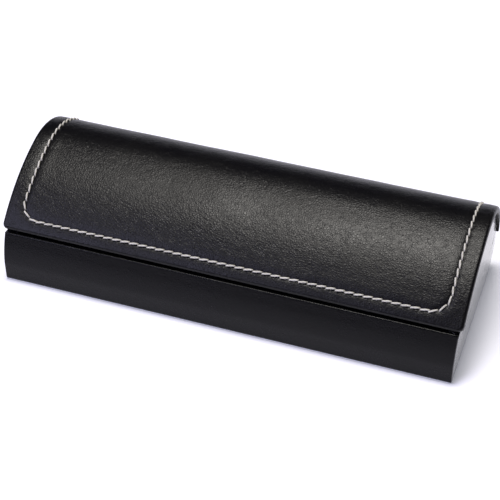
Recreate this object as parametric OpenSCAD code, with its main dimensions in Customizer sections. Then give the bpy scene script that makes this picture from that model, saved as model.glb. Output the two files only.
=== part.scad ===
// Hard-shell glasses case with a flap lid, two compartments and a soft divider.
// Millimetres. X runs along the hinge, the lid opens at -Y, and Z = 0 is the table.
// The origin is under the middle of the closed case.

/* [Outline] */
// Length of the closed case, along the hinge
case_length = 165; // [150:1:180]
// Height of the lid's front edge above the table
flap_z = 20.8; // [20.4:0.1:21.6]
// Setback of the lid's front edge from the front of the case
flap_y = 3.5; // [3.2:0.1:4]
// Steepness of the lid at its front edge, in degrees
slope_start = 46; // [45:0.5:47]
// Steepness where the lid's slope meets the rounded back, in degrees
slope_end = 14; // [11:0.5:17]
// Radius of the lid's long front slope
slope_radius = 64; // [60:1:70]
// Radius of the rounded back
back_radius = 25; // [24:0.5:26]
// Radius of the lower back edge
heel_radius = 11.5; // [6:0.5:12]
// Radius of the lower front edge
toe_radius = 1.2; // [1:0.1:1.8]
// Radius of the bowed front wall
wall_radius = 33; // [32:0.5:34]

/* [Layers] */
// Thickness of the outer leather
leather = 0.8; // [0.6:0.1:0.9]
// Thickness of the stiff board inside the walls and the lid
board = 1.2; // [1.1:0.1:1.3]
// Thickness of the velvet lining
lining = 0.4; // [0.3:0.1:0.5]
// Width of the leather turned in around the lid's opening edge
turn_in = 6; // [4:0.5:7]

/* [Ends] */
// How far the end panels stand in from the ends of the case
end_recess = 1.1; // [0.8:0.1:1.6]
// Thickness of the stiff board in each end panel
end_board = 2; // [1.5:0.1:2.5]
// Gap between the end panels' arched edge and the closed lid
lid_gap = 0.5; // [0.4:0.1:0.8]

/* [Closure] */
// Length of each magnet and of the steel keeper above it
magnet_length = 22; // [12:1:30]
// Distance from the middle of the case to each magnet
magnet_x = 36; // [24:1:48]

/* [Inside] */
// Thickness of the two floor cushions
cushion = 2; // [1.5:0.1:3]
// Height of the soft divider between the compartments
divider_height = 23; // [16:0.5:25]
// Thickness of the soft divider
divider_thickness = 2.6; // [2.2:0.1:3.2]
// Place of the divider, front to back
divider_y = 1; // [-3:0.5:4]

/* [Stitching] */
// Distance of the side rows of stitches from the ends of the lid
stitch_inset = 6.2; // [5:0.1:9]
// Distance of the front row of stitches from the lid's front edge
stitch_front = 4.7; // [3.5:0.1:8]
// Radius of the corners in the row of stitches
stitch_corner = 6.5; // [4:0.5:10]
// Distance from one stitch to the next
stitch_pitch = 3.2; // [2.8:0.1:4.5]
// Thickness of the thread
thread = 0.8; // [0.5:0.1:0.9]
// Slant of each stitch to its row, in degrees
stitch_slant = 10; // [0:1:15]

/* [Hidden] */

// The outline of the closed case runs clockwise seen from the right-hand end: from the
// lid's front edge over the back and the floor to the top of the front wall. A heading is
// the outline's direction in degrees above +Y, and it falls all the way. The lid turns
// about the point of the outline midway between lid_board_end and base_board_start.
cover_end = -63;          // lower edge of the lid's leather
lid_board_end = -72;      // lower edge of the lid's board
base_board_start = -78;   // upper edge of the base's board
spine_end = -87;          // lower edge of the leather hinge
toe_end = -264;           // foot of the front wall
wall_top = -296;          // top of the front wall
// The leather turned over the two opening edges
flap_turn = slope_start - turned(leather, slope_radius);
flap_return = slope_start - turned(turn_in, slope_radius);
wall_turn = wall_top + turned(leather, wall_radius);
wall_return = wall_top + turned(turn_in, wall_radius);

// Depths below the outline where the layers meet
board_out = leather;
board_in = leather + board;
shell = leather + board + lining;

// Centres of the outline's arcs
case_depth = flap_y + slope_radius * sin(slope_start)
    - (slope_radius - back_radius) * sin(slope_end) + back_radius;
front_y = -case_depth / 2;
slope_centre = [front_y + flap_y, flap_z] + slope_radius * inward(slope_start);
back_centre = slope_centre - (slope_radius - back_radius) * inward(slope_end);
heel_centre = [case_depth / 2 - heel_radius, heel_radius];
wall_centre = [
    front_y + wall_radius,
    toe_radius - (wall_radius - toe_radius) * cos(toe_end)
];
toe_centre = wall_centre - (wall_radius - toe_radius) * inward(toe_end);

// Each span of the outline: heading at its start and end, centre, radius
spans = [
    [slope_start, flap_turn, slope_centre, slope_radius],
    [flap_turn, flap_return, slope_centre, slope_radius],
    [flap_return, slope_end, slope_centre, slope_radius],
    [slope_end, cover_end, back_centre, back_radius],
    [cover_end, lid_board_end, back_centre, back_radius],
    [lid_board_end, base_board_start, back_centre, back_radius],
    [base_board_start, spine_end, back_centre, back_radius],
    [spine_end, -90, back_centre, back_radius],
    [-90, -180, heel_centre, heel_radius],
    [-180, toe_end, toe_centre, toe_radius],
    [toe_end, wall_return, wall_centre, wall_radius],
    [wall_return, wall_turn, wall_centre, wall_radius],
    [wall_turn, wall_top, wall_centre, wall_radius]
];
facet_angle = 4;          // largest turn between neighbouring points of an arc

// Half-lengths along the hinge
lid_half = case_length / 2;
spine_half = lid_half - 0.2;
end_face = lid_half - end_recess;
board_face = end_face - leather;
inner_face = board_face - end_board;
inner_half = inner_face - leather;

end_edge = shell + lid_gap;

// The closure's bars lie in pockets that open towards the inside
bar_clearance = 0.05;
bar_face = board_in - 0.1;
bar_setback = 1.2;        // from the opening edge to each bar
keeper_width = 6;
keeper_thickness = 0.6;
keeper_heading = slope_start - turned(bar_setback + keeper_width / 2, slope_radius);
magnet_width = 3.5;
magnet_thickness = 0.8;
magnet_heading = wall_top + turned(bar_setback + magnet_width / 2, wall_radius);

// Cushions and divider
cushion_gap = 5;          // from the divider's middle to each cushion
cushion_end_gap = 0.5;
cushion_corner = 0.9;
strip_thickness = 0.5;
strip_half_width = 4.5;
divider_end_gap = 0.6;
divider_half = inner_half - divider_end_gap;
divider_radius = divider_thickness / 2;
divider_lift = 0.3;
divider_z = shell + strip_thickness + divider_lift + divider_radius;
divider_cloth = 0.7;

// Stitching
stitch_length = stitch_pitch * 0.78;
stitch_sink = thread * 0.3;
stitch_end = -58;
stitch_side = lid_half - stitch_inset;
slope_length = slope_radius * (slope_start - slope_end) * PI / 180;

black = "#17171a";
velvet = "#3a3b40";
card = "#8a7256";
steel = "#b9bcc0";

function inward(heading) = [sin(heading), -cos(heading)];

// The angle that a length takes up on an arc
function turned(length, radius) = length / radius * 180 / PI;

// Where the wall meets the floor at a depth: inside the toe's radius the two meet in an edge
function wall_foot(depth) =
    depth <= toe_radius
        ? toe_end
        : acos((depth - wall_centre[1]) / (wall_radius - depth)) - 360;

function span_points(span, depth) =
    let (
        from = span[0] == toe_end ? wall_foot(depth) : span[0],
        steps = max(1, ceil((from - span[1]) / facet_angle))
    )
    depth > span[3] ? [] :
    [for (i = [0 : steps])
        let (heading = from + (span[1] - from) * i / steps)
        span[2] - (span[3] - depth) * inward(heading)];

function without_repeats(points) =
    [for (i = [0 : len(points) - 1])
        if (i == 0 || norm(points[i] - points[i - 1]) > 0.0001) points[i]];

function backwards(points) = [for (i = [len(points) - 1 : -1 : 0]) points[i]];

// Points of the outline between two headings, moved inwards by depth
function curve(from, to, depth) = without_repeats([
    for (span = spans)
        if (span[0] <= from && span[1] >= to) each span_points(span, depth)
]);

module along_x(half) {
    rotate([90, 0, 90]) linear_extrude(2 * half, center = true) children();
}

// A slab between two places on X, drawn for the right-hand end
module slab(low, high) {
    translate([(low + high) / 2, 0, 0]) along_x((high - low) / 2) children();
}

module on_both_ends() {
    children();
    mirror([1, 0, 0]) children();
}

// A layer of the shell between two headings and two depths
module layer(from, to, outer, inner) {
    polygon(concat(curve(from, to, outer), backwards(curve(from, to, inner))));
}

// The inside of the case, closed by an arched top edge at the given depth
module end_outline(depth) {
    polygon(concat(
        curve(slope_start, lid_board_end, depth),
        curve(base_board_start, wall_turn, board_in)
    ));
}

// The same, grown to the outside of the base
module end_cover_outline(depth) {
    polygon(concat(
        curve(slope_start, lid_board_end, depth),
        curve(base_board_start, spine_end, board_out),
        curve(spine_end, wall_top, 0)
    ));
}

// Moves a piece to a heading on an arc: local Y along the outline, local Z outwards
module on_outline(heading, centre, radius) {
    place = centre - radius * inward(heading);
    translate([0, place[0], place[1]]) rotate([heading, 0, 0]) children();
}

// A pair of bars between two depths below an arc of the outline
module bars(heading, centre, radius, width, outer, inner, margin) {
    on_outline(heading, centre, radius)
        for (side = [-1, 1])
            translate([side * magnet_x, 0, -(outer + inner) / 2])
                cube([magnet_length + 2 * margin, width + 2 * margin, inner - outer],
                    center = true);
}

module keeper_bars(margin, outer, inner) {
    bars(keeper_heading, slope_centre, slope_radius, keeper_width, outer, inner, margin);
}

module magnet_bars(margin, outer, inner) {
    bars(magnet_heading, wall_centre, wall_radius, magnet_width, outer, inner, margin);
}

module base_core() {
    color(card) difference() {
        along_x(board_face)
            layer(base_board_start, wall_turn, board_out, board_in);
        magnet_bars(bar_clearance, bar_face - magnet_thickness - bar_clearance, shell);
    }
}

module base_wrap() {
    color(black) {
        along_x(board_face) polygon(concat(
            curve(spine_end, wall_top, 0),
            backwards(curve(wall_turn, wall_top, board_in)),
            backwards(curve(spine_end, wall_turn, board_out))
        ));
        along_x(inner_half)
            layer(wall_return, wall_top, board_in, shell);
    }
}

module base_lining() {
    color(velvet) along_x(inner_half)
        layer(spine_end, wall_return, board_in, shell);
}

module end_board_piece() {
    color(card) slab(inner_face, board_face) end_outline(end_edge + leather);
}

module end_skin_piece() {
    color(black) {
        slab(board_face, end_face) end_cover_outline(end_edge);
        slab(inner_half, board_face)
            layer(slope_start, lid_board_end, end_edge, end_edge + leather);
        slab(inner_half, inner_face)
            layer(slope_start, lid_board_end, end_edge + leather, end_edge + turn_in);
    }
}

module end_lining_piece() {
    color(velvet) slab(inner_half, inner_face) end_outline(end_edge + turn_in);
}

module end_board_right() { end_board_piece(); }
module end_board_left() { mirror([1, 0, 0]) end_board_piece(); }
module end_skin_right() { end_skin_piece(); }
module end_skin_left() { mirror([1, 0, 0]) end_skin_piece(); }
module end_lining_right() { end_lining_piece(); }
module end_lining_left() { mirror([1, 0, 0]) end_lining_piece(); }

module wall_magnets() {
    color(steel) magnet_bars(0, bar_face - magnet_thickness, bar_face);
}

// A flat pad on the floor lining, with its upper edges rounded
module floor_pad(from, to) {
    top = shell + cushion;
    along_x(inner_half - cushion_end_gap) union() {
        translate([from, shell]) square([to - from, cushion - cushion_corner]);
        translate([from + cushion_corner, shell])
            square([to - from - 2 * cushion_corner, cushion]);
        for (y = [from + cushion_corner, to - cushion_corner])
            translate([y, top - cushion_corner]) circle(cushion_corner, $fn = 32);
    }
}

module front_cushion() {
    color(velvet) floor_pad(front_y + shell + 1.2, divider_y - cushion_gap);
}

module back_cushion() {
    color(velvet) floor_pad(divider_y + cushion_gap, heel_centre[0]);
}

module divider_strip() {
    color(velvet) along_x(divider_half)
        translate([divider_y - strip_half_width, shell])
            square([2 * strip_half_width, strip_thickness]);
}

module hinge_spine() {
    color(black) along_x(spine_half) layer(cover_end, spine_end, 0, board_out);
}

module hinge_liner() {
    color(velvet) along_x(inner_half) layer(cover_end, spine_end, board_in, shell);
}

module lid_core() {
    color(card) difference() {
        along_x(lid_half - leather)
            layer(flap_turn, lid_board_end, board_out, board_in);
        keeper_bars(bar_clearance, bar_face - keeper_thickness - bar_clearance, shell);
    }
}

module lid_cover() {
    color(black) {
        along_x(lid_half) polygon(concat(
            curve(slope_start, cover_end, 0),
            backwards(curve(flap_turn, cover_end, board_out)),
            curve(flap_turn, flap_return, board_in),
            backwards(curve(slope_start, flap_return, shell))
        ));
        on_both_ends() {
            slab(lid_half - leather, lid_half)
                layer(flap_turn, lid_board_end, board_out, board_in);
            slab(lid_half - turn_in, lid_half)
                layer(flap_return, cover_end, board_in, shell);
        }
    }
}

module lid_lining() {
    color(velvet) along_x(lid_half - turn_in)
        layer(flap_return, cover_end, board_in, shell);
}

module lid_keepers() {
    color(steel) keeper_bars(0, bar_face - keeper_thickness, bar_face);
}

// One stitch on the lid, at a distance from the middle and from the front edge, in a
// row turned in the plane of the leather
module stitch(x, run, turn) {
    on_slope = run <= slope_length;
    heading = on_slope
        ? slope_start - turned(run, slope_radius)
        : slope_end - turned(run - slope_length, back_radius);
    on_outline(
        heading,
        on_slope ? slope_centre : back_centre,
        on_slope ? slope_radius : back_radius
    )
        translate([x, 0, thread / 2 - stitch_sink])
            rotate([0, 0, turn + stitch_slant]) rotate([0, 90, 0])
                cylinder(h = stitch_length, d = thread, center = true, $fn = 8);
}

module lid_stitching() {
    front_half = stitch_side - stitch_corner;
    front_count = floor(2 * front_half / stitch_pitch);
    corner_run = stitch_front + stitch_corner;
    side_run = slope_length + back_radius * (slope_end - stitch_end) * PI / 180;
    side_count = floor((side_run - corner_run) / stitch_pitch);
    corner_count = floor(stitch_corner * PI / 2 / stitch_pitch);
    color("#d9d6cf") {
        for (i = [0 : front_count])
            stitch((i - front_count / 2) * stitch_pitch, stitch_front, 0);
        for (side = [-1, 1]) {
            for (i = [0 : side_count])
                stitch(side * stitch_side, corner_run + (i + 0.5) * stitch_pitch, 90);
            for (i = [0 : corner_count - 1]) {
                angle = 90 * (i + 0.5) / corner_count;
                stitch(
                    side * (front_half + stitch_corner * sin(angle)),
                    corner_run - stitch_corner * cos(angle),
                    side * angle
                );
            }
        }
    }
}

module divider_board() {
    color(card) along_x(divider_half - divider_cloth)
        translate([divider_y - divider_radius + divider_cloth, divider_z])
            square([
                divider_thickness - 2 * divider_cloth,
                divider_height - 2 * divider_radius
            ]);
}

module divider_cover() {
    rise = divider_height - 2 * divider_radius;
    color(velvet) difference() {
        along_x(divider_half) union() {
            translate([divider_y - divider_radius, divider_z])
                square([divider_thickness, rise]);
            for (z = [divider_z, divider_z + rise])
                translate([divider_y, z]) circle(divider_radius, $fn = 32);
        }
        divider_board();
    }
}

base_core();
base_wrap();
base_lining();
end_board_left();
end_board_right();
end_skin_left();
end_skin_right();
end_lining_left();
end_lining_right();
wall_magnets();
front_cushion();
back_cushion();
divider_strip();
hinge_spine();
hinge_liner();
lid_core();
lid_cover();
lid_lining();
lid_keepers();
lid_stitching();
divider_board();
divider_cover();
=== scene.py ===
import math

import bmesh
import bpy
import numpy as np
from mathutils import Matrix, Vector, noise


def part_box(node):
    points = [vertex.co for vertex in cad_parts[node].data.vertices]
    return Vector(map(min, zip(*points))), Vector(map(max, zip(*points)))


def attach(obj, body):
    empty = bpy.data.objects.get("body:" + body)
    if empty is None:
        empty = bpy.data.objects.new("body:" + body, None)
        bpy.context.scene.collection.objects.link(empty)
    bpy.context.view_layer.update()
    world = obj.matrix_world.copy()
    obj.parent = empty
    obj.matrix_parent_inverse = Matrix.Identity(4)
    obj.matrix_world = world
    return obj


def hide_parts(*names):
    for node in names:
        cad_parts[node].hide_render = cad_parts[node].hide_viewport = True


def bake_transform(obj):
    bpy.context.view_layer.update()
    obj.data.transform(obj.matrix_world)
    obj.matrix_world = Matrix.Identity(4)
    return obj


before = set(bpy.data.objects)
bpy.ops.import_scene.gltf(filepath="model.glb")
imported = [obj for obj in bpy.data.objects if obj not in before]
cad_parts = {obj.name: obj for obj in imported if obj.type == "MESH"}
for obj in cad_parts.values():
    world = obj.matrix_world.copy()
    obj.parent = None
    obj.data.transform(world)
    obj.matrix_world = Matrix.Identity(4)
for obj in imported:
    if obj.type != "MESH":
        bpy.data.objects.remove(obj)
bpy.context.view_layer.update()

MM = 0.001

# ---------------------------------------------------------------- the case's own sizes
# The outline's values are the ones in part.scad, in metres and degrees.
FLAP_Z, FLAP_Y = 20.8 * MM, 3.5 * MM
SLOPE_START, SLOPE_END = 46.0, 14.0
SLOPE_R, BACK_R, HEEL_R, TOE_R, WALL_R = 64 * MM, 25 * MM, 11.5 * MM, 1.2 * MM, 33 * MM
LEATHER, BOARD, LINING = 0.8 * MM, 1.2 * MM, 0.4 * MM
TURN_IN = 6 * MM
LID_GAP = 0.5 * MM
COVER_END, LID_BOARD_END, BASE_BOARD_START, SPINE_END = -63.0, -72.0, -78.0, -87.0
FLOOR_HEADING, TOE_END, WALL_TOP = -180.0, -264.0, -296.0
# where the lines of the heel stop and those of the toe start, either side of the flat floor
HEEL_STOP, TOE_START, PANEL_TOE_START = FLOOR_HEADING + 2, FLOOR_HEADING - 2, FLOOR_HEADING - 4
TOE_MIDDLE = (FLOOR_HEADING + TOE_END) / 2
HINGE_HEADING = (LID_BOARD_END + BASE_BOARD_START) / 2
STITCH_INSET, STITCH_FRONT, STITCH_CORNER = 6.2 * MM, 4.7 * MM, 6.5 * MM
STITCH_PITCH, THREAD, STITCH_SLANT, STITCH_TOP = 3.2 * MM, 0.8 * MM, 10.0, -58.0

SHELL = LEATHER + BOARD + LINING
LID_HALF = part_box("lid_cover")[1].x
SPINE_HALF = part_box("hinge_spine")[1].x
END_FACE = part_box("end_skin_right")[1].x
INNER_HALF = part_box("end_skin_right")[0].x
LINING_HALF = LID_HALF - TURN_IN
END_EDGE = SHELL + LID_GAP
FRONT_Y, BACK_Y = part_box("base_wrap")[0].y, -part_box("base_wrap")[0].y


def inward(heading):
    """The direction into the case, as (y, z), where its outline has this heading in degrees."""
    a = math.radians(heading)
    return np.array((math.sin(a), -math.cos(a)))


SLOPE_C = np.array((FRONT_Y + FLAP_Y, FLAP_Z)) + SLOPE_R * inward(SLOPE_START)
BACK_C = SLOPE_C - (SLOPE_R - BACK_R) * inward(SLOPE_END)
HEEL_C = np.array((BACK_Y - HEEL_R, HEEL_R))
WALL_C = np.array((FRONT_Y + WALL_R, TOE_R - (WALL_R - TOE_R) * math.cos(math.radians(TOE_END))))


class Path:
    """The case's outline at a depth below its surface, as a run of arcs with a rounded toe."""

    STEP = 0.2 * MM

    def __init__(self, depth, toe):
        reach, rise = WALL_R - depth - toe, depth + toe - WALL_C[1]
        toe_c = WALL_C + (-math.sqrt(reach ** 2 - rise ** 2), rise)
        foot = FLOOR_HEADING - math.degrees(math.atan2(WALL_C[0] - toe_c[0], toe_c[1] - WALL_C[1]))
        rows = []
        for start, end, centre, radius in (
            (SLOPE_START, SLOPE_END, SLOPE_C, SLOPE_R - depth),
            (SLOPE_END, -90, BACK_C, BACK_R - depth),
            (-90, FLOOR_HEADING, HEEL_C, HEEL_R - depth),
            (FLOOR_HEADING, foot, toe_c, toe),
            (foot, WALL_TOP, WALL_C, WALL_R - depth),
        ):
            n = max(2, round(math.radians(start - end) * radius / self.STEP))
            for i in range(n + 1):
                h = start + (end - start) * i / n
                rows.append((*(centre - radius * inward(h)), h))
        self.rows = np.array(rows)
        self.runs = np.concatenate(([0], np.cumsum(np.hypot(*np.diff(self.rows[:, :2], axis=0).T))))
        self.length = float(self.runs[-1])

    def run_of(self, heading):
        """Distance along the path, from the lid's front edge, of a heading."""
        return float(np.interp(-heading, -self.rows[:, 2], self.runs))

    def at(self, run):
        """The (y, z, heading) at a run along the path."""
        return tuple(float(np.interp(run, self.runs, self.rows[:, i])) for i in range(3))

    def point(self, x, run, depth):
        """The point at x and a run along the path, a depth below it."""
        y, z, h = self.at(run)
        n = inward(h)
        return Vector((x, y + depth * n[0], z + depth * n[1]))


OUTER, INNER = Path(0.0, TOE_R), Path(SHELL, 1.0 * MM)


# ---------------------------------------------------------------- camera and lights
AZIMUTH, ELEVATION = 18.975, 40.483
SENSOR, LENS = 36, 105.51
IMAGE = 500                               # the view's width and height in pixels
DISTANCE = 504.7 * MM                     # along the view, to the middle of the front foot
FRONT_FOOT_AT = (219.7, 329.8)            # where that point stands in the view


def add_camera():
    a, e = math.radians(AZIMUTH), math.radians(ELEVATION)
    right = Vector((math.cos(a), math.sin(a), 0))
    ahead = Vector((-math.sin(a) * math.cos(e), math.cos(a) * math.cos(e), -math.sin(e)))
    up = right.cross(ahead)
    focal = LENS / SENSOR * IMAGE
    u, v = ((c - IMAGE / 2) / focal for c in FRONT_FOOT_AT)
    place = Vector((0, FRONT_Y, 0)) - (right * u - up * v + ahead) * DISTANCE
    data = bpy.data.cameras.new("camera")
    data.sensor_width, data.lens = SENSOR, LENS
    data.clip_start, data.clip_end = 0.01, 20
    cam = bpy.data.objects.new("camera", data)
    bpy.context.scene.collection.objects.link(cam)
    rows = [[right[i], up[i], -ahead[i], place[i]] for i in range(3)]
    cam.matrix_world = Matrix(rows + [[0, 0, 0, 1]])
    bpy.context.scene.camera = cam


def softbox(name, centre, target, width, height, power, colour):
    data = bpy.data.lights.new(name, "AREA")
    data.shape, data.size, data.size_y = "RECTANGLE", width, height
    data.energy, data.color = power, colour
    lamp = bpy.data.objects.new(name, data)
    bpy.context.scene.collection.objects.link(lamp)
    lamp.location = centre
    lamp.rotation_mode = "QUATERNION"
    lamp.rotation_quaternion = (Vector(centre) - Vector(target)).to_track_quat("Z", "Y")


def new_material(name):
    m = bpy.data.materials.new(name)
    m.use_nodes = True
    return m, m.node_tree, m.node_tree.nodes["Principled BSDF"]


add_camera()

# ---------------------------------------------------------------- materials


class Shade:
    """Short calls for building a node material in the object's own coordinates."""

    def __init__(self, name):
        self.material, self.tree, self.bsdf = new_material(name)
        self.place = self.node("ShaderNodeTexCoord").outputs["Object"]

    def node(self, kind, **props):
        n = self.tree.nodes.new(kind)
        for k, v in props.items():
            setattr(n, k, v)
        return n

    def feed(self, n, values):
        for k, v in values.items():
            if isinstance(v, bpy.types.NodeSocket):
                self.tree.links.new(v, n.inputs[k])
            else:
                n.inputs[k].default_value = v
        return n

    def set(self, **values):
        """Values or sockets for the shader, named with _ for a space."""
        self.feed(self.bsdf, {k.replace("_", " "): v for k, v in values.items()})

    def stretched(self, scale, vector=None):
        n = self.node("ShaderNodeMapping")
        self.feed(n, {"Vector": vector or self.place, "Scale": scale})
        return n.outputs["Vector"]

    def noise(self, scale, detail, rough, vector=None, distortion=0.0):
        n = self.node("ShaderNodeTexNoise")
        self.feed(n, {"Vector": vector or self.place, "Scale": scale, "Detail": detail,
                      "Roughness": rough, "Distortion": distortion})
        return n.outputs["Fac"]

    def warped(self, scale, amount):
        """The object's coordinates, pushed about by a noise of this scale."""
        n = self.node("ShaderNodeTexNoise")
        self.feed(n, {"Vector": self.place, "Scale": scale, "Detail": 2.0})
        mid = self.node("ShaderNodeVectorMath", operation="SUBTRACT")
        self.feed(mid, {0: n.outputs["Color"], 1: (0.5, 0.5, 0.5)})
        by = self.node("ShaderNodeVectorMath", operation="SCALE")
        self.feed(by, {0: mid.outputs[0], "Scale": amount})
        add = self.node("ShaderNodeVectorMath", operation="ADD")
        self.feed(add, {0: self.place, 1: by.outputs[0]})
        return add.outputs[0]

    def cells(self, scale, vector=None, feature="F1", smooth=None):
        n = self.node("ShaderNodeTexVoronoi", feature=feature)
        self.feed(n, {"Vector": vector or self.place, "Scale": scale})
        if smooth is not None:
            self.feed(n, {"Smoothness": smooth})
        return n.outputs["Distance"]

    def ranged(self, value, low, high, to_low, to_high, smooth=False):
        n = self.node("ShaderNodeMapRange",
                      interpolation_type="SMOOTHSTEP" if smooth else "LINEAR")
        self.feed(n, {"Value": value, "From Min": low, "From Max": high,
                      "To Min": to_low, "To Max": to_high})
        return n.outputs["Result"]

    def math(self, operation, a, b=0.0):
        n = self.node("ShaderNodeMath", operation=operation)
        self.feed(n, {0: a, 1: b})
        return n.outputs[0]

    def mix(self, share, a, b):
        n = self.node("ShaderNodeMix", data_type="RGBA")
        for socket, v in (("Factor_Float", share), ("A_Color", a), ("B_Color", b)):
            s = next(i for i in n.inputs if i.identifier == socket)
            if isinstance(v, bpy.types.NodeSocket):
                self.tree.links.new(v, s)
            else:
                s.default_value = v if not isinstance(v, tuple) or len(v) == 4 else (*v, 1)
        return next(o for o in n.outputs if o.identifier == "Result_Color")

    def attribute(self, name):
        return self.node("ShaderNodeAttribute", attribute_name=name).outputs["Fac"]

    def bump(self, *layers):
        """Layers of (height, distance in metres), the coarsest first."""
        normal = None
        for height, distance in layers:
            n = self.node("ShaderNodeBump")
            self.feed(n, {"Height": height, "Distance": distance, "Strength": 1.0})
            if normal is not None:
                self.tree.links.new(normal, n.inputs["Normal"])
            normal = n.outputs["Normal"]
        self.tree.links.new(normal, self.bsdf.inputs["Normal"])


def leather(name, rough, tint=1.0, grain=1.0, coat=0.0, gloss=0.25):
    """Black pebbled leather: fine cells with painted shade in their hollows, a blue cast that is in
    part painted reflection, creases along the case, rubbed pale where worn.
    """
    s = Shade(name)
    at = s.warped(420, 0.0011)
    pebble = s.ranged(s.cells(1250, at, "DISTANCE_TO_EDGE"), 0.0, 0.32, 0.0, 1.0, smooth=True)
    fine = s.cells(3600, at, "SMOOTH_F1", 0.6)
    crease = s.noise(1.0, 4.0, 0.62, s.stretched((330, 430, 430), at), 0.5)
    crease = s.ranged(crease, 0.36, 0.5, 0.0, 1.0, smooth=True)
    broad = s.noise(38, 3.0, 0.5)
    worn = s.attribute("wear")
    scuff = s.math("MULTIPLY", worn, s.ranged(s.noise(900, 4.0, 0.7), 0.42, 0.62, 0.0, 1.0))
    # blue-black colours; part of their blue is painted reflection of the bluish fill light and floor
    dark = (0.0013 * tint, 0.0012 * tint, 0.0022 * tint)
    light = (0.0028 * tint, 0.0026 * tint, 0.0040 * tint)
    warm = (0.0034 * tint, 0.0031 * tint, 0.0029 * tint)
    rubbed = (0.017, 0.0165, 0.0165)
    # painted shade: dark in the hollows between the pebbles, where the bump sinks, and light on their
    # tops
    base = s.mix(s.ranged(pebble, 0.0, 1.0, 0.15, 0.85), dark, light)
    base = s.mix(s.ranged(broad, 0.35, 0.65, 0.0, 0.5), base, warm)
    base = s.mix(s.ranged(scuff, 0.0, 1.0, 0.0, 0.5), base, rubbed)
    s.set(Base_Color=base)
    shine = s.ranged(broad, 0.3, 0.7, rough - 0.035, rough + 0.035)
    shine = s.math("ADD", shine, s.ranged(pebble, 0.0, 1.0, 0.06, -0.01))
    shine = s.math("SUBTRACT", shine, s.math("MULTIPLY", worn, 0.05))
    s.set(Roughness=shine, IOR=1.5, Specular_IOR_Level=gloss)
    if coat:
        s.set(Coat_Weight=coat, Coat_Roughness=0.14, Coat_IOR=1.5)
    s.bump((crease, 0.000028 * grain), (pebble, 0.000033 * grain), (fine, 0.00001 * grain))
    return s.material


def velvet(name, tint=1.0):
    """Short dark pile, brushed one way, with a sheen and paler worn edges."""
    s = Shade(name)
    pile = s.noise(5200, 3.0, 0.65)
    brushed = s.noise(1.0, 3.0, 0.55, s.stretched((60, 190, 190)), 0.8)
    clumps = s.noise(900, 3.0, 0.6)
    worn = s.attribute("wear")
    dark = (0.0165 * tint, 0.0168 * tint, 0.0195 * tint)
    light = (0.034 * tint, 0.0345 * tint, 0.039 * tint)
    tips = (0.052 * tint, 0.053 * tint, 0.059 * tint)
    base = s.mix(s.ranged(brushed, 0.36, 0.64, 0.0, 1.0), dark, light)
    base = s.mix(s.ranged(pile, 0.3, 0.7, 0.0, 0.45), base, tips)
    base = s.mix(s.math("MULTIPLY", worn, 0.5), base, (0.058, 0.057, 0.062))
    s.set(Base_Color=base, Roughness=s.ranged(clumps, 0.3, 0.7, 0.82, 0.98),
          Sheen_Weight=0.55, Sheen_Roughness=0.35, Sheen_Tint=(0.55, 0.57, 0.66, 1.0),
          Specular_IOR_Level=0.15)
    s.bump((brushed, 0.00012), (clumps, 0.00010), (pile, 0.00008))
    return s.material


def card(name):
    """Black-dyed grey board, seen only at the cut edges round the hinge."""
    s = Shade(name)
    fibres = s.noise(1.0, 5.0, 0.65, s.stretched((900, 2600, 2600)), 1.2)
    flecks = s.cells(1300)
    blotch = s.noise(90, 3.0, 0.5)
    base = s.mix(s.ranged(fibres, 0.3, 0.7, 0.0, 1.0), (0.016, 0.014, 0.012), (0.034, 0.030, 0.026))
    base = s.mix(s.ranged(flecks, 0.0, 0.25, 0.6, 0.0), base, (0.009, 0.008, 0.007))
    base = s.mix(s.ranged(blotch, 0.35, 0.65, 0.0, 0.35), base, (0.045, 0.04, 0.036))
    s.set(Base_Color=base, Roughness=s.ranged(fibres, 0.3, 0.7, 0.78, 0.95))
    s.bump((blotch, 0.00006), (fibres, 0.00005))
    return s.material


def steel(name):
    """Brushed steel with a few dull spots."""
    s = Shade(name)
    brushed = s.noise(1.0, 4.0, 0.7, s.stretched((220, 9000, 9000)))
    spots = s.noise(700, 4.0, 0.6)
    base = s.mix(s.ranged(brushed, 0.3, 0.7, 0.0, 1.0), (0.5, 0.5, 0.51), (0.7, 0.7, 0.69))
    base = s.mix(s.ranged(spots, 0.6, 0.75, 0.0, 0.4), base, (0.32, 0.3, 0.28))
    s.set(Base_Color=base, Metallic=1.0, Roughness=s.ranged(brushed, 0.3, 0.7, 0.24, 0.42))
    s.bump((brushed, 0.000012), (spots, 0.00001))
    return s.material


def thread_material(name):
    """Pale cotton, with painted shade darkening the groove between its plies."""
    s = Shade(name)
    fibre = s.noise(7000, 3.0, 0.6)
    patch = s.noise(260, 3.0, 0.5)
    groove = s.attribute("groove")
    base = s.mix(s.ranged(patch, 0.35, 0.65, 0.0, 1.0), (0.58, 0.56, 0.52), (0.69, 0.67, 0.63))
    base = s.mix(s.ranged(fibre, 0.35, 0.65, 0.0, 0.3), base, (0.55, 0.52, 0.47))
    # painted shade: the groove attribute darkens the thread between its plies, where shade falls
    base = s.mix(s.math("MULTIPLY", groove, 0.6), base, (0.36, 0.335, 0.3))
    s.set(Base_Color=base, Roughness=s.ranged(fibre, 0.3, 0.7, 0.5, 0.72), Sheen_Weight=0.25,
          Subsurface_Weight=0.06, Subsurface_Radius=(0.0006, 0.0005, 0.0004))
    s.bump((fibre, 0.00004))
    return s.material


BLACK = leather("black_leather", rough=0.33)
WALL = leather("wall_leather", rough=0.27, tint=0.9, grain=0.6, gloss=0.16)
PANEL = leather("panel_leather", rough=0.26, tint=1.15, grain=0.4, coat=0.95)
SPINE = leather("spine_leather", rough=0.33, tint=0.95, grain=0.8)
VELVET = velvet("velvet")
VELVET_PAD = velvet("velvet_pad", 1.12)
CARD = card("card")
STEEL = steel("steel")
COTTON = thread_material("thread")


def dress(piece, material):
    piece.data.materials.clear()
    piece.data.materials.append(material)


# ---------------------------------------------------------------- mesh building


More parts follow.
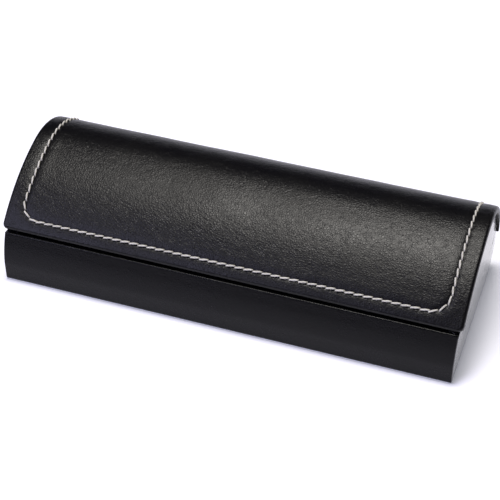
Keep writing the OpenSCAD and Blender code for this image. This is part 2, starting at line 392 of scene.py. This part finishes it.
def finish_mesh(name, bm, material, smooth=True):
    """An object from a bmesh, its faces turned outward."""
    bmesh.ops.recalc_face_normals(bm, faces=bm.faces)
    mesh = bpy.data.meshes.new(name)
    bm.to_mesh(mesh)
    bm.free()
    for p in mesh.polygons:
        p.use_smooth = smooth
    piece = bpy.data.objects.new(name, mesh)
    bpy.context.scene.collection.objects.link(piece)
    dress(piece, material)
    return piece


def lines(low, high, cell):
    """Even lines from low to high, about a cell apart."""
    return [float(v) for v in np.linspace(low, high, max(2, round((high - low) / cell) + 1))]


ROUND_STEPS = 5                           # in a slab's rounded edge and in its corner
SAME = 1e-7                               # closer than this, two points are one


def bell(distance, width):
    """1 at no distance, falling away smoothly past a width."""
    return math.exp(-((distance / width) ** 2))


def edge_profile(band, thick, over, under):
    """Rings round a slab's edge as (outset, depth), from its top to its underside.
    over and under are the radii of its two roundings."""
    rings = [(band * i / 3, 0.0) for i in range(3)] if band > over else []
    rings = [(o, d) for o, d in rings if o < band - over - SAME]
    angles = [math.pi / 2 * i / ROUND_STEPS for i in range(ROUND_STEPS + 1)]
    for t in angles:
        rings.append((band - over + over * math.sin(t), over * (1 - math.cos(t))))
    for t in angles:
        rings.append((band - under + under * math.cos(t), thick - under + under * math.sin(t)))
    clean = []
    for r in rings:
        if not clean or abs(clean[-1][0] - r[0]) + abs(clean[-1][1] - r[1]) > SAME:
            clean.append(r)
    return clean


def slab(name, xs, runs, band, thick, place, material, over, under, share=(1, 1, 1, 1)):
    """A closed slab with rounded edges and corners over a grid of x and run lines.
    band is the strip outside the grid that the edges take up, and share the part of it used at
    the sides: low run, high x, high run, low x. place(x, run, depth) gives a point.
    Its wear attribute is 1 just under the edge's upper turn and 0 away from it."""
    rings = edge_profile(band, thick, over, under)
    bm = bmesh.new()
    wear = bm.verts.layers.float.new("wear")
    nx, nr = len(xs), len(runs)

    def grid(depth):
        return [[bm.verts.new(place(x, r, depth)) for x in xs] for r in runs]

    def border(g):
        """The grid's border in ring order, each corner once for each point of a ring's corner."""
        times = ROUND_STEPS + 1
        out = [g[0][0]] * times + [g[0][i] for i in range(1, nx - 1)]
        out += [g[0][nx - 1]] * times + [g[j][nx - 1] for j in range(1, nr - 1)]
        out += [g[nr - 1][nx - 1]] * times + [g[nr - 1][i] for i in range(nx - 2, 0, -1)]
        out += [g[nr - 1][0]] * times + [g[j][0] for j in range(nr - 2, 0, -1)]
        return out

    def ring(outset, depth):
        low_r, high_x, high_r, low_x = (outset * k for k in share)
        out = []

        def turn(x, r, start, sx, sr):
            wide, tall = high_x if sx > 0 else low_x, high_r if sr > 0 else low_r
            for i in range(ROUND_STEPS + 1):
                t = math.radians(start + 90 * i / ROUND_STEPS)
                out.append((x + math.cos(t) * wide, r + math.sin(t) * tall))

        turn(xs[0], runs[0], 180, -1, -1)
        out.extend((x, runs[0] - low_r) for x in xs[1:-1])
        turn(xs[-1], runs[0], 270, 1, -1)
        out.extend((xs[-1] + high_x, r) for r in runs[1:-1])
        turn(xs[-1], runs[-1], 0, 1, 1)
        out.extend((x, runs[-1] + high_r) for x in reversed(xs[1:-1]))
        turn(xs[0], runs[-1], 90, -1, 1)
        out.extend((xs[0] - low_x, r) for r in reversed(runs[1:-1]))
        verts = [bm.verts.new(place(x, r, depth)) for x, r in out]
        near = max(0.0, 1 - abs(depth - 0.25 * thick) / (0.45 * thick)) * (outset / band) ** 3
        for v in verts:
            v[wear] = near
        return verts

    def join(a, b):
        """Faces between two loops, leaving out a corner that a face has twice."""
        n = len(a)
        for i in range(n):
            j = (i + 1) % n
            corners = []
            for v in (a[i], a[j], b[j], b[i]):
                if not corners or (v is not corners[-1] and v is not corners[0]):
                    corners.append(v)
            if len(corners) > 2:
                bm.faces.new(corners)

    def fill(g, flip):
        for j in range(nr - 1):
            for i in range(nx - 1):
                f = [g[j][i], g[j][i + 1], g[j + 1][i + 1], g[j + 1][i]]
                bm.faces.new(f[::-1] if flip else f)

    top, bottom = grid(0.0), grid(thick)
    fill(top, False)
    fill(bottom, True)
    loops = [border(top)] + [ring(o, d) for o, d in rings if o > SAME] + [border(bottom)]
    for a, b in zip(loops, loops[1:]):
        join(b, a)
    return finish_mesh(name, bm, material)


def ripple(x, run, seed, length):
    """A smooth unevenness of about this length, from -1 to 1."""
    return noise.noise(Vector((x / length + seed, run / length, seed * 1.7)))


# The stitch line runs along the lid's front and up both its sides, as far as this run
STITCH_SIDE = LID_HALF - STITCH_INSET
STITCH_LAST = OUTER.run_of(STITCH_TOP)
FAR = 1.0                                 # a distance past every feature of the case


def stitch_places():
    """Each stitch's x, run and turn in the plane of the leather, in degrees."""
    half = STITCH_SIDE - STITCH_CORNER
    start = STITCH_FRONT + STITCH_CORNER
    front = math.floor(2 * half / STITCH_PITCH)
    side = math.floor((STITCH_LAST - start) / STITCH_PITCH)
    round_it = math.floor(STITCH_CORNER * math.pi / 2 / STITCH_PITCH)
    places = [((i - front / 2) * STITCH_PITCH, STITCH_FRONT, 0.0) for i in range(front + 1)]
    for s in (-1, 1):
        places += [(s * STITCH_SIDE, start + (i + 0.5) * STITCH_PITCH, 90.0) for i in range(side + 1)]
        for i in range(round_it):
            t = 90 * (i + 0.5) / round_it
            places.append((s * (half + STITCH_CORNER * math.sin(math.radians(t))),
                           start - STITCH_CORNER * math.cos(math.radians(t)), s * t))
    return places


def off_stitch_line(x, run):
    """Distance of a point of the lid from the line of stitches."""
    half, start = STITCH_SIDE - STITCH_CORNER, STITCH_FRONT + STITCH_CORNER
    x = abs(x)
    if run > STITCH_LAST + 1 * MM:
        return FAR
    if x > half and run < start:
        return abs(math.hypot(x - half, start - run) - STITCH_CORNER)
    return min(abs(x - STITCH_SIDE) if run >= start else FAR,
               abs(run - STITCH_FRONT) if x <= half else FAR)


STITCHES = stitch_places()


def stitch_way(turn):
    """A stitch's direction in the plane of the leather, turned a little from its row's."""
    a = math.radians(turn + STITCH_SLANT)
    return math.cos(a), math.sin(a)


HOLE_CELL = 4 * MM


def hole_cell(x, run):
    return round(x / HOLE_CELL), round(run / HOLE_CELL)


def needle_holes():
    """The holes at the stitches' two ends, sorted into cells for a quick search."""
    cells = {}
    for x, run, turn in STITCHES:
        u, v = stitch_way(turn)
        for s in (-0.5, 0.5):
            hole = (x + s * STITCH_PITCH * u, run + s * STITCH_PITCH * v)
            cells.setdefault(hole_cell(*hole), []).append(hole)
    return cells


HOLES = needle_holes()


def nearest_hole(x, run):
    """Distance of a point of the lid from the nearest needle hole."""
    i, j = hole_cell(x, run)
    near = [h for a in (-1, 0, 1) for b in (-1, 0, 1) for h in HOLES.get((i + a, j + b), ())]
    return min((math.hypot(x - h[0], run - h[1]) for h in near), default=FAR)


GROOVE_DEEP, GROOVE_WIDE = 0.16 * MM, 0.8 * MM
HOLE_DEEP, HOLE_WIDE = 0.2 * MM, 0.5 * MM
PUCKER_DEEP, PUCKER_WIDE = 0.035 * MM, 1.6 * MM
PUFF_HIGH, PUFF_WIDE, PUFF_AT = 0.07 * MM, 1.7 * MM, 2.8 * MM
SKIN_SINK = 0.06 * MM                     # keeps the waves of the leather inside the CAD's surface


def lid_lift(x, run):
    """How far the lid's leather stands off its true surface."""
    line = off_stitch_line(x, run)
    groove = pucker = 0.0
    if line < HOLE_CELL:
        hole = nearest_hole(x, run)
        groove = -GROOVE_DEEP * bell(line, GROOVE_WIDE) - HOLE_DEEP * bell(hole, HOLE_WIDE)
        pucker = -PUCKER_DEEP * bell(hole, PUCKER_WIDE)
    puff = PUFF_HIGH * bell(line - PUFF_AT, PUFF_WIDE)
    wave = 0.08 * MM * ripple(x, run, 3.1, 17 * MM) + 0.028 * MM * ripple(x, run, 8.2, 6 * MM)
    return groove + pucker + puff + wave - SKIN_SINK


FINE_REACH = 1.6 * MM


def graded(low, high, cell, fine, around):
    """Lines from low to high, a cell apart and finer near the given places."""
    out, at = [low], low
    while at < high - 0.6 * fine:
        near = min(abs(at - p) for p in around)
        at += fine if near < FINE_REACH else cell
        out.append(min(at, high))
    if out[-1] < high:
        out[-1] = high
    return out


EDGE = 2.0 * MM                           # the strip that a leather's rounded edge takes up
PROUD = 0.14 * MM                         # how far the velvet stands above the leather round it
SEAM_SINK, SEAM_WIDE = 0.72 * MM, 0.5 * MM   # the step that the hinge's leather lies in


def step(value, at, width):
    """0 before a place and 1 after it, rounded over a width."""
    t = min(1.0, max(0.0, (value - at) / width + 0.5))
    return t * t * (3 - 2 * t)


def lid_place(x, run, depth):
    """A point of the lid's leather, its top uneven and its underside true."""
    share = max(0.0, 1 - depth / SHELL)
    recess = SEAM_SINK * step(run, OUTER.run_of(COVER_END) + 0.1 * MM, SEAM_WIDE)
    lift = lid_lift(x, run) * (1 if depth < 0.4 * SHELL else 0.5)
    return OUTER.point(x, run, depth + (recess - lift) * share)


def velvet_sheet(name, body, node, half, low, high, seed, cell=2 * MM):
    """A velvet lining glued to the inside of the shell between two runs of its path."""
    rim = 0.5 * MM

    def place(x, run, depth):
        return INNER.point(x, run, PROUD - depth + 0.03 * MM * ripple(x, run, seed, 11 * MM))

    piece = slab(name, lines(-half + rim, half - rim, 3 * MM), lines(low + rim, high - rim, cell),
                 rim, LINING, place, VELVET, over=0.2 * MM, under=0.1 * MM)
    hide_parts(node)
    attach(piece, body)


def make_lid():
    seam, end = OUTER.run_of(COVER_END), OUTER.run_of(LID_BOARD_END)
    rows = graded(EDGE, seam - 0.4 * MM, 0.8 * MM, 0.35 * MM, (STITCH_FRONT,))
    rows += lines(seam - 0.15 * MM, seam + 0.35 * MM, 0.12 * MM)
    rows += lines(seam + 0.8 * MM, end - 0.5 * MM, 0.9 * MM)
    side = LID_HALF - EDGE
    columns = graded(-side, side, 0.8 * MM, 0.35 * MM, (-STITCH_SIDE, STITCH_SIDE))
    cover = slab("lid_leather", columns, rows, EDGE, SHELL, lid_place, BLACK,
                 over=1.1 * MM, under=0.45 * MM, share=(1, 1, 0.25, 1))
    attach(cover, "lid")
    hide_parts("lid_cover")
    velvet_sheet("lid_velvet", "lid", "lid_lining", LINING_HALF, TURN_IN, INNER.run_of(COVER_END), 5.5)


TOE_THIN, TOE_WIDE = 1.4 * MM, 5 * MM     # the wrap is thinner inside its sharp toe
WALL_RISE, WALL_RISE_OVER = 0.4 * MM, 2.8 * MM   # the wall's top comes up under the flap


def wrap_place(x, run, depth):
    """A point of the base's leather: flat under the case, thin in the toe, up under the flap."""
    z = OUTER.at(run)[1]
    wave = 0.05 * MM * ripple(x, run, 12.4, 19 * MM) + 0.02 * MM * ripple(x, run, 1.2, 7 * MM)
    wave -= SKIN_SINK
    share = max(0.0, 1 - depth / SHELL) * (min(1.0, z / (2 * MM)) if depth < 0.5 * SHELL else 1.0)
    recess = SEAM_SINK * (1 - step(run, OUTER.run_of(SPINE_END) - 0.1 * MM, SEAM_WIDE))
    if run < OUTER.length - TURN_IN:
        thin = TOE_THIN * bell(run - OUTER.run_of(TOE_MIDDLE), TOE_WIDE)
        down = min(depth, SHELL - 0.1 * MM - thin) + (recess - wave) * share
    else:
        down = depth - wave * share
    p = OUTER.point(x, run, down)
    rise = WALL_RISE * step(run, OUTER.length - WALL_RISE_OVER / 2, WALL_RISE_OVER)
    p.z = max(p.z + rise, 0.0)
    return p


def make_base():
    start, seam = OUTER.run_of(BASE_BOARD_START), OUTER.run_of(SPINE_END)
    rows = lines(start + 0.5 * MM, seam - 0.8 * MM, 0.9 * MM)
    rows += lines(seam - 0.35 * MM, seam + 0.15 * MM, 0.12 * MM)
    rows += lines(seam + 0.4 * MM, OUTER.run_of(HEEL_STOP), 1.2 * MM)
    rows += lines(OUTER.run_of(TOE_START), OUTER.run_of(TOE_END), 0.4 * MM)
    rows += lines(OUTER.run_of(TOE_END) + 0.5 * MM, OUTER.length - EDGE, 0.9 * MM)
    side = END_FACE - 0.2 * MM - 0.25 * EDGE
    wrap = slab("base_leather", lines(-side, side, 1.2 * MM), rows, EDGE, SHELL, wrap_place, WALL,
                over=0.5 * MM, under=0.5 * MM, share=(0.25, 0.25, 1, 0.25))
    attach(wrap, "base")
    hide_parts("base_wrap")
    velvet_sheet("base_velvet", "base", "base_lining", INNER_HALF - 0.1 * MM,
                 INNER.run_of(SPINE_END), INNER.length - TURN_IN, 2.5, cell=0.8 * MM)


def make_spine():
    """The leather and the velvet strip across the hinge."""
    high, low, axis = (OUTER.run_of(h) for h in (COVER_END, SPINE_END, HINGE_HEADING))
    creases = [OUTER.run_of(h) for h in (LID_BOARD_END, BASE_BOARD_START)]

    def skin(x, run, depth):
        sides = sum(bell(run - c, 0.6 * MM) for c in creases)
        fold = bell(run - axis, 0.9 * MM)
        sink = 0.08 * MM + 0.16 * MM * sides - 0.03 * MM * fold
        sink += 0.03 * MM * ripple(x, run, 7.7, 9 * MM)
        return OUTER.point(x, run, depth * 0.9 + sink)

    rim = 0.6 * MM
    spine = slab("hinge_leather", lines(-SPINE_HALF + rim, SPINE_HALF - rim, 1.5 * MM),
                 lines(high + rim, low - rim, 0.4 * MM), rim, LEATHER, skin, SPINE,
                 over=0.35 * MM, under=0.3 * MM)
    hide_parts("hinge_spine")
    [OUTER.point(0, OUTER.run_of(HINGE_HEADING + t), 0) for t in (-7, 7)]
    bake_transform(spine)

    high, low, axis = (INNER.run_of(h) for h in (COVER_END, SPINE_END, HINGE_HEADING))

    def pile(x, run, depth):
        fold = 0.35 * MM * bell(run - axis, 1.6 * MM)
        rough = 0.03 * MM * ripple(x, run, 4.4, 8 * MM)
        return INNER.point(x, run, 0.1 * MM - depth + fold + rough)

    half = INNER_HALF - 0.4 * MM
    liner = slab("hinge_velvet", lines(-half + 0.6 * MM, half - 0.6 * MM, 2 * MM),
                 lines(high - 0.4 * MM, low + 0.4 * MM, 0.5 * MM), 0.5 * MM, LINING, pile, VELVET,
                 over=0.2 * MM, under=0.1 * MM)
    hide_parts("hinge_liner")
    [INNER.point(0, INNER.run_of(HINGE_HEADING + t), 0) for t in (-9, 9)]
    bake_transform(liner)


CLOSING = (0.82, 0.6, 0.38, 0.18)         # sizes of the rings that close a ringed piece's ends


def ringed(name, rings, material, cap):
    """A closed piece from rings of points, its two ends closed towards a middle point of each.
    Its wear attribute is 1 on the rounding of its outer edge."""
    bm = bmesh.new()
    wear = bm.verts.layers.float.new("wear")
    for end, middle in ((0, cap[0]), (-1, cap[1])):
        inner = [[Vector(p).lerp(middle, 1 - k) for p in rings[end]] for k in CLOSING]
        rings = inner[::-1] + rings if end == 0 else rings + inner
    loops = [[bm.verts.new(p) for p in ring] for ring in rings]
    high = max(abs(p[0]) for ring in rings for p in ring)
    for ring in loops:
        for v in ring:
            v[wear] = max(0.0, 1 - abs(high - 0.5 * MM - abs(v.co.x)) / (0.6 * MM))
    for a, b in zip(loops, loops[1:]):
        for i in range(len(a)):
            j = (i + 1) % len(a)
            bm.faces.new((a[i], a[j], b[j], b[i]))
    for loop, middle in ((loops[0], cap[0]), (loops[-1], cap[1])):
        tip = bm.verts.new(middle)
        tip[wear] = 0.0
        for i in range(len(loop)):
            bm.faces.new((loop[i], loop[(i + 1) % len(loop)], tip))
    for loop in loops[:len(CLOSING)]:
        for v in loop:
            v[wear] = 0.0
    return finish_mesh(name, bm, material)


PANEL_MIDDLE = (-3 * MM, 15.5 * MM)       # the end panel's middle, front to back and up
CORE_REACH, CORE_HIGH = 14 * MM, 9 * MM   # deep insets head for a level line this long each way
STRAIGHT_INSET = 0.9 * MM                 # up to here an inset goes straight in
LINING_FOOT = 19.4 * MM                   # the end lining's arch starts above the wall's top


def end_loop(arch_depth, base_depth, arch_foot=0.0):
    """Points round an end panel as (y, z, normal, share of the arch), clockwise from its front.
    The arch leaves out what is lower than its foot."""
    lid_end, start = OUTER.run_of(LID_BOARD_END - 1), OUTER.run_of(BASE_BOARD_START + 1)
    heel_end, toe_start = OUTER.run_of(FLOOR_HEADING), OUTER.run_of(PANEL_TOE_START)
    toe_end = OUTER.run_of(TOE_END)
    arch = lines(0, lid_end, 1.2 * MM)
    notch = lines(lid_end, start, 0.6 * MM)[1:-1]
    base = lines(start, OUTER.run_of(HEEL_STOP), 1.2 * MM)
    base += [r for r in lines(heel_end + 1 * MM, heel_end + 50 * MM, 3 * MM) if r < toe_start]
    base += lines(toe_start, toe_end, 0.2 * MM)
    base += lines(toe_end + 0.6 * MM, OUTER.length, 1.0 * MM)
    stops = [(r, 1.0) for r in arch]
    stops += [(r, 1 - step(r, (lid_end + start) / 2, start - lid_end)) for r in notch]
    stops += [(r, 0.0) for r in base]
    points = []
    for run, share in stops:
        y, z, h = OUTER.at(run)
        n = inward(h)
        depth = base_depth + (arch_depth - base_depth) * share
        p = (y + depth * n[0], z + depth * n[1])
        if share > 0 and p[1] <= arch_foot:
            continue
        if depth > TOE_R and h < PANEL_TOE_START:
            # deeper than the toe's radius its arc turns inside out, so one corner stands for it
            if h > TOE_END or p[1] < depth + 0.1 * MM:
                continue
            if points[-1][1] < depth + 0.01 * MM:
                points.append((p[0], depth, np.array((0.7, 0.7)), 0.0))
        points.append((*p, n, share))
    a, b = points[-1], points[0]
    for t in (1 / 5, 2 / 5, 3 / 5, 4 / 5):
        n = a[2] * (1 - t) + b[2] * t
        y, z = a[0] + (b[0] - a[0]) * t, a[1] + (b[1] - a[1]) * t
        points.append((y, z, n / np.hypot(*n), t * t * (3 - 2 * t)))
    return points


def panel_ring(loop, side, x_arch, in_arch, x_base, in_base):
    """One ring of an end panel: its x and its inset for the arched part and for the base."""
    out = []
    for y, z, n, share in loop:
        x = x_base + (x_arch - x_base) * share
        inset = in_base + (in_arch - in_base) * share
        small = min(inset, STRAIGHT_INSET)
        p = Vector((y + small * n[0], z + small * n[1]))
        if inset > small:
            way = Vector((min(CORE_REACH, max(-CORE_REACH, p.x)), CORE_HIGH)) - p
            p += way.normalized() * (inset - small)
        out.append(Vector((side * x, p.x, p.y)))
    return out


def make_end(side, word):
    """One end: a board wrapped in glossy leather, with a velvet lining inside."""
    face, board, inner = END_FACE, END_FACE - LEATHER, INNER_HALF
    loop = end_loop(END_EDGE, 0.12 * MM)
    rows = [(face + 0.28 * MM, 7.5 * MM, face + 0.28 * MM, 7.5 * MM),
            (face + 0.22 * MM, 5.2 * MM, face + 0.2 * MM, 5.2 * MM),
            (face + 0.1 * MM, 3.0 * MM, face + 0.05 * MM, 2.6 * MM)]
    r = 0.5 * MM
    angles = [math.pi / 2 * i / 6 for i in range(7)]
    rows += [(face - r * (1 - math.cos(t)), r * (1 - math.sin(t))) * 2 for t in angles]
    for i, t in enumerate(angles):
        rows.append((inner + r * (1 - math.sin(t)), r * (1 - math.cos(t)),
                     board + 0.05 * MM, 0.3 * MM * i))
    rows += [(inner, 3.2 * MM, board + 0.02 * MM, 3.0 * MM), (inner, TURN_IN, board, 4.5 * MM),
             (inner + 0.7 * MM, TURN_IN, board, 5.0 * MM), (inner + LEATHER, LEATHER, board, 5.5 * MM),
             (board, LEATHER, board, 6.0 * MM), (board, TURN_IN, board, 7.0 * MM)]
    rings = [panel_ring(loop, side, *row) for row in rows]
    caps = [Vector((side * x, *PANEL_MIDDLE)) for x in (face + 0.32 * MM, board)]
    panel = ringed("end_panel_" + word, rings, PANEL, caps)
    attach(panel, "base")
    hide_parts("end_skin_" + word)

    loop = end_loop(END_EDGE + TURN_IN - 0.4 * MM, SHELL + 0.1 * MM, LINING_FOOT)
    top, low, r = INNER_HALF - 0.22 * MM, INNER_HALF + 0.6 * MM, 0.25 * MM
    rows = [(top, 3 * MM, top, 3 * MM), (top, 1.2 * MM, top, 1.2 * MM)]
    rows += [(top + r * (1 - math.cos(t)), r * (1 - math.sin(t))) * 2
             for t in (0, 0.4, 0.8, 1.2, math.pi / 2)]
    rows += [(low, 0.0, low, 0.0), (low, 2 * MM, low, 2 * MM)]
    rings = [panel_ring(loop, side, *row) for row in rows]
    caps = [Vector((side * x, *PANEL_MIDDLE)) for x in (top, low)]
    lining = ringed("end_velvet_" + word, rings, VELVET, caps)
    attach(lining, "base")
    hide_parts("end_lining_" + word)


PLIES, TWIST = 2, 6.5                     # plies of the thread; their turn in half a stitch, radians


def make_stitching():
    """Each stitch is a twisted thread that comes up through one hole and goes down the next."""
    bm = bmesh.new()
    groove = bm.verts.layers.float.new("groove")
    across, along = 12, 16
    for k, (x, run, turn) in enumerate(STITCHES):
        u, v = stitch_way(turn)
        half = 0.53 * STITCH_PITCH
        jitter = 0.05 * MM * noise.noise(Vector((k * 0.73, 1.9, 0.4)))
        fat = 1 + 0.08 * noise.noise(Vector((k * 1.31, 0.2, 5.4)))
        rings = []
        for i in range(along + 1):
            t = -1 + 2 * i / along
            bow = jitter * math.cos(t * math.pi / 2)
            cx, cr = x + t * half * u - bow * v, run + t * half * v + bow * u
            end = abs(t) ** 5
            radius = 0.4 * THREAD * fat * (1 - 0.3 * end)
            height = radius * 0.62 - 0.62 * MM * end + 0.02 * MM
            ring = []
            for j in range(across):
                phi = 2 * math.pi * j / across
                twist = math.cos(PLIES * phi - TWIST * t)
                rad = radius * (1 + 0.085 * twist)
                side, up = rad * math.cos(phi), rad * math.sin(phi) * 0.85
                vert = bm.verts.new(OUTER.point(cx - side * v, cr + side * u, -(height + up)))
                # groove marks the hollow between the plies, where painted shade darkens the thread
                vert[groove] = max(0.0, -twist) ** 2
                ring.append(vert)
            rings.append(ring)
        for a, b in zip(rings, rings[1:]):
            for j in range(across):
                m = (j + 1) % across
                bm.faces.new((a[j], a[m], b[m], b[j]))
        bm.faces.new(rings[0][::-1])
        bm.faces.new(rings[-1])
    thread = finish_mesh("lid_thread", bm, COTTON)
    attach(thread, "lid")
    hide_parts("lid_stitching")


CLOTH_FRAMES = 20


def inflate(piece, held, pressure, cap):
    """Swell a closed pad under pressure as cloth, its held points fixed, no point past the cap."""
    scene = bpy.context.scene
    group = piece.vertex_groups.new(name="held")
    group.add([v.index for v in piece.data.vertices if held(v.co)], 1.0, "REPLACE")
    cloth = piece.modifiers.new("cloth", "CLOTH")
    s = cloth.settings
    s.quality, s.mass, s.air_damping = 6, 0.15, 2.0
    s.tension_stiffness = s.compression_stiffness = 12
    s.shear_stiffness, s.bending_stiffness = 6, 0.3
    s.use_pressure, s.uniform_pressure_force = True, pressure
    s.vertex_group_mass = "held"
    s.effector_weights.gravity = 0
    cloth.collision_settings.use_collision = False
    cloth.point_cache.frame_start, cloth.point_cache.frame_end = 1, CLOTH_FRAMES
    start = [v.co.copy() for v in piece.data.vertices]
    for f in range(1, CLOTH_FRAMES + 1):
        scene.frame_set(f)
    deps = bpy.context.evaluated_depsgraph_get()
    shape = [v.co.copy() for v in piece.evaluated_get(deps).data.vertices]
    piece.modifiers.remove(cloth)
    piece.vertex_groups.remove(group)
    scene.frame_set(1)
    moved = 0.0
    for v, a, b in zip(piece.data.vertices, start, shape):
        way = b - a
        moved = max(moved, way.length)
        if way.length > cap:
            way *= cap / way.length
        v.co = a + way
    print(piece.name, "swelled by up to %.2f mm" % (moved / MM))


def smoothed(piece):
    """One level of subdivision on a piece."""
    m = piece.modifiers.new("round", "SUBSURF")
    m.levels = m.render_levels = 1


PAD_RIM = 0.9 * MM
PAD_SINK = 0.25 * MM                      # how far a cushion's crown stays under the CAD's top


def make_cushion(word, seed):
    """A thin floor cushion glued down by its underside, which crowns between its seams."""
    low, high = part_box(word + "_cushion")
    full = high.z - low.z

    def place(x, y, depth):
        edge = min(high.x - abs(x), y - low.y, high.y - y)
        sag = 0.3 * MM * math.exp(-max(edge, 0) / (2.2 * MM)) + 0.05 * MM * ripple(x, y, seed, 14 * MM)
        z = high.z - PAD_SINK - sag * (1 - depth / full) - depth * (full - PAD_SINK) / full
        return Vector((x, y, max(low.z, z)))

    pad = slab(word + "_pad", lines(low.x + PAD_RIM, high.x - PAD_RIM, 2 * MM),
               lines(low.y + PAD_RIM, high.y - PAD_RIM, 1.6 * MM), PAD_RIM, full, place, VELVET_PAD,
               over=0.8 * MM, under=0.5 * MM)
    inflate(pad, lambda p: p.z < low.z + 0.35 * MM, 3.0, 0.45 * MM)
    smoothed(pad)
    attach(pad, "base")
    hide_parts(word + "_cushion")


def make_divider():
    low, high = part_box("divider_cover")
    full = high.y - low.y
    hem = 2.6 * MM

    def place(x, z, depth):
        line = min(high.x - abs(x), high.z - z) - hem
        seam = 0.28 * MM * bell(line, 0.6 * MM)
        inset = 0.14 * MM + seam + 0.03 * MM * ripple(x, z, 6.6, 12 * MM)
        return Vector((x, low.y + inset + depth * (full - 2 * inset) / full, z))

    def sewn(p):
        """Whether a point lies in the hem round the divider or in its foot."""
        return p.z < low.z + 3 * MM or min(high.x - abs(p.x), high.z - p.z) < hem + 0.4 * MM

    columns = graded(low.x + PAD_RIM, high.x - PAD_RIM, 1.6 * MM, 0.5 * MM,
                     (low.x + hem, high.x - hem))
    rows = graded(low.z + PAD_RIM, high.z - PAD_RIM, 1.6 * MM, 0.5 * MM, (high.z - hem,))
    pad = slab("divider_pad", columns, rows, PAD_RIM, full, place, VELVET_PAD,
               over=1.2 * MM, under=1.2 * MM)
    inflate(pad, sewn, 2.0, 0.3 * MM)
    smoothed(pad)
    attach(pad, "divider")
    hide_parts("divider_cover")

    a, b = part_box("divider_strip")
    middle = (low.y + high.y) / 2

    def flat(x, y, depth):
        return Vector((x, y, b.z - depth + 0.03 * MM * ripple(x, y, 9.1, 9 * MM)))

    rim = 0.4 * MM
    strip = slab("divider_base", lines(a.x + rim, b.x - rim, 3 * MM),
                 lines(a.y + rim, b.y - rim, 1 * MM), rim, b.z - a.z, flat, VELVET,
                 over=0.3 * MM, under=0.1 * MM)
    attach(strip, "base")
    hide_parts("divider_strip")

    # the cloth at each side of the divider's foot, curving from the strip up onto its face
    rise, reach, proud, thick = 6.5 * MM - b.z, 1.95 * MM, 0.15 * MM, 0.22 * MM
    half = 9
    web = bmesh.new()
    web.verts.layers.float.new("wear")
    for s in (-1, 1):
        rings = []
        for x in lines(low.x + 0.5 * MM, high.x - 0.5 * MM, 2 * MM):
            ring = []
            for i in range(2 * half):
                t = math.pi / 2 * (i if i < half else 2 * half - 1 - i) / (half - 1)
                out = 0 if i < half else thick
                gap = 0.06 * MM * ripple(x, i, 3.3, 8 * MM) * math.sin(2 * t)
                y = (high.y - middle) + proud + (reach - gap) * (1 - math.sin(t)) - out * math.sin(t)
                z = b.z + 0.06 * MM + rise * (1 - math.cos(t)) - out * math.cos(t)
                ring.append(web.verts.new((x, middle + s * y, z)))
            rings.append(ring)
        for p, q in zip(rings, rings[1:]):
            for i in range(2 * half):
                j = (i + 1) % (2 * half)
                web.faces.new((p[i], p[j], q[j], q[i]))
        web.faces.new(rings[0][::-1])
        web.faces.new(rings[-1])
    cloth = finish_mesh("divider_web", web, VELVET)
    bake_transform(cloth)


make_lid()
make_base()
make_spine()
make_end(1, "right")
make_end(-1, "left")
make_stitching()
make_cushion("front", 2.2)
make_cushion("back", 7.4)
make_divider()

for node in ("lid_core", "base_core", "end_board_left", "end_board_right", "divider_board"):
    dress(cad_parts[node], CARD)
for node in ("wall_magnets", "lid_keepers"):
    dress(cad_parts[node], STEEL)

# ---------------------------------------------------------------- floor and lights


def make_floor():
    """A white floor that glows a little, for the photo's bright ground."""
    bm = bmesh.new()
    bmesh.ops.create_grid(bm, x_segments=8, y_segments=8, size=6)
    m, _, bsdf = new_material("floor")
    bsdf.inputs["Base Color"].default_value = (0.85, 0.85, 0.95, 1)
    bsdf.inputs["Roughness"].default_value = 0.9
    bsdf.inputs["Emission Color"].default_value = (0.88, 0.9, 1.0, 1)
    bsdf.inputs["Emission Strength"].default_value = 0.26
    floor = finish_mesh("floor", bm, m, smooth=False)


def make_world():
    world = bpy.data.worlds.new("studio")
    world.use_nodes = True
    ground = world.node_tree.nodes["Background"].inputs
    ground["Color"].default_value = (0.010, 0.010, 0.013, 1)
    ground["Strength"].default_value = 1.0
    bpy.context.scene.world = world


make_floor()
make_world()
# (name, centre, target, width, height, watts, colour)
softbox("key", (-0.09, 0.10, 1.3), (0.0, 0.0, 0.02), 0.64, 0.38, 17.2, (1.0, 0.97, 0.915))
softbox("fill", (-0.62, -0.72, 0.72), (0.0, 0.0, 0.02), 0.75, 0.6, 6.2, (0.73, 0.72, 1.0))
bpy.context.scene.view_settings.view_transform = "Standard"
